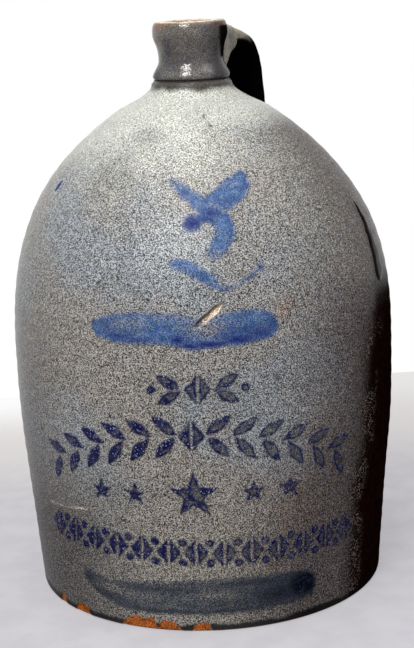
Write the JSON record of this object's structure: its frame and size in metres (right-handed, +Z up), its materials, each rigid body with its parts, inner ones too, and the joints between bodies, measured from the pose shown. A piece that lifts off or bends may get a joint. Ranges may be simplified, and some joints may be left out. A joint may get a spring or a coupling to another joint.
{
  "type": "jug",
  "caption": "Salt-glazed stoneware jug with a domed shoulder, a narrow neck for a cork, a strap handle and cobalt ornament.",
  "frame": {"origin": "middle of the base, on the surface that the jug stands on", "axes": "+Z up along the jug's axis, +Y towards the handle, the painted front faces -Y and a little +X"},
  "size_m": [0.254, 0.2543, 0.375],
  "materials": {
    "salt_glaze": "grey salt glaze with an orange-peel surface",
    "neck_glaze": "dark brown-grey salt glaze, speckled",
    "handle_glaze": "brown-grey salt glaze",
    "brown_slip": "glossy brown slip",
    "brushed_cobalt": "brushed cobalt under the salt glaze",
    "slate_cobalt": "dull slate-blue cobalt under the salt glaze",
    "stencilled_cobalt": "thick navy stencilled cobalt with raised rims",
    "kiln_glass": "black glassy kiln drip"
  },
  "bodies": {
    "root": {"body": "salt_glaze", "neck": "neck_glaze", "handle": "handle_glaze", "root_luting_coil": "handle_glaze", "landing_luting_coil": "handle_glaze", "slip_lining": "brown_slip", "capacity_numeral": "brushed_cobalt", "upper_swash": "brushed_cobalt", "lower_swash": "slate_cobalt", "stencil_sprig": "stencilled_cobalt", "stencil_garland": "stencilled_cobalt", "stencil_border": "stencilled_cobalt", "star_far_left": "stencilled_cobalt", "star_left": "stencilled_cobalt", "star_centre": "stencilled_cobalt", "star_right": "stencilled_cobalt", "star_far_right": "stencilled_cobalt", "cobalt_drop": "brushed_cobalt", "kiln_drip": "kiln_glass"}
  },
  "joints": []
}
